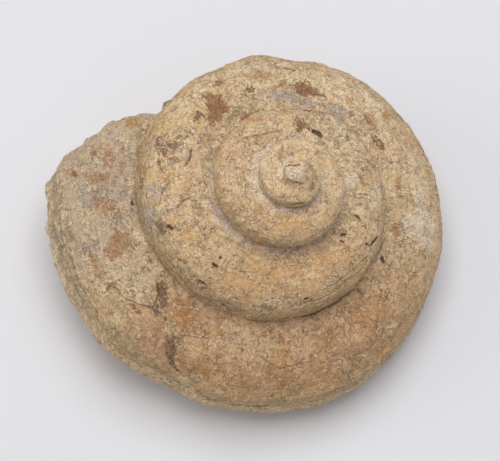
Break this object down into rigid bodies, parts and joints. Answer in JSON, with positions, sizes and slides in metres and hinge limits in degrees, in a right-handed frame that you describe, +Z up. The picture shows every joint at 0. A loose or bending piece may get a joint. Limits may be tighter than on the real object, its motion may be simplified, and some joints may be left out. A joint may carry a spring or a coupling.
{
  "type": "fossil slit shell",
  "caption": "Fossil slit shell: a solid stone cast of a low conical sea snail, with rounded whorls, a rough broken mouth and a worn base that it rests on.",
  "frame": {"origin": "on the surface that the shell rests on, under the middle of its bounding box", "axes": "+Z up, +X across the widest way with the broken mouth at -X, +Y away from the side that the picture is taken from"},
  "size_m": [0.076, 0.0682, 0.04],
  "materials": {
    "fossil_limestone": "dry, matt weathered limestone, ochre and tan with grey-green, pink and rust-brown patches"
  },
  "bodies": {
    "root": {"slit_shell": "fossil_limestone"}
  },
  "joints": []
}
